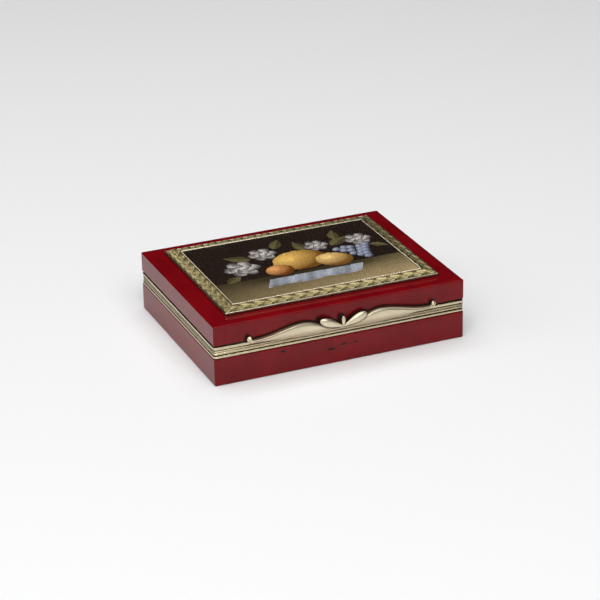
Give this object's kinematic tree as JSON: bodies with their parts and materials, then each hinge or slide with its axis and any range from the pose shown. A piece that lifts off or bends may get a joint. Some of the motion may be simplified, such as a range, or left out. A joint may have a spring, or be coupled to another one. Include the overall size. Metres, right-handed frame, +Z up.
{
  "type": "hinged snuffbox",
  "caption": "Small rectangular snuffbox of polished red stone with gold rims, a hinged lid with a mosaic plaque in a chased frame, and a winged thumbpiece.",
  "frame": {"origin": "middle of the underside, on the surface the box stands on", "axes": "+X along the box's length to the right, +Y to the back where the hinge is, +Z up"},
  "size_m": [0.0842, 0.0675, 0.022],
  "materials": {
    "red_stone": "polished deep red",
    "gold": "soft polished pale gold",
    "bright_gold": "burnished gold wire",
    "chased_gold": "chased and matted gold, darker in the hollows",
    "thumb_gold": "satin pale gold",
    "gold_sheet": "planished gold sheet, lightly rubbed",
    "gold_wire": "drawn gold wire",
    "tray_metal": "dull copper",
    "mastic": "matt mastic",
    "mosaic_glass": "opaque glass tesserae, ground and polished"
  },
  "bodies": {
    "base": {"base_block": "red_stone", "base_rim": "gold", "base_mount_pegs": "gold_wire", "base_lining": "gold_sheet", "base_bezel": "gold", "base_hinge_bearer": "gold", "base_knuckles": "gold", "hinge_pin": "gold_wire", "hinge_plugs": "gold"},
    "lid": {"lid_block": "red_stone", "lid_rim": "gold", "lid_mount_pegs": "gold_wire", "lid_lining": "gold_sheet", "lid_hinge_bearer": "gold", "lid_knuckles": "gold", "mosaic_tray": "tray_metal", "mosaic_bed": "mastic", "mosaic_panel": "mosaic_glass", "mosaic_bezel": "bright_gold", "frame_wire": "bright_gold", "frame_pegs": "gold_wire", "frame_front": "chased_gold", "frame_back": "chased_gold", "frame_left": "chased_gold", "frame_right": "chased_gold", "thumb_wings": "thumb_gold", "thumb_petal_left": "thumb_gold", "thumb_petal_right": "thumb_gold", "thumb_bud": "thumb_gold", "thumb_scroll_left": "thumb_gold", "thumb_scroll_right": "thumb_gold"}
  },
  "joints": [
    {"name": "lid_hinge", "type": "hinge", "parent": "base", "child": "lid", "pos_m": [0, 0.031, 0.01115], "axis": [-1, 0, 0], "range_deg": [0, 100]}
  ]
}
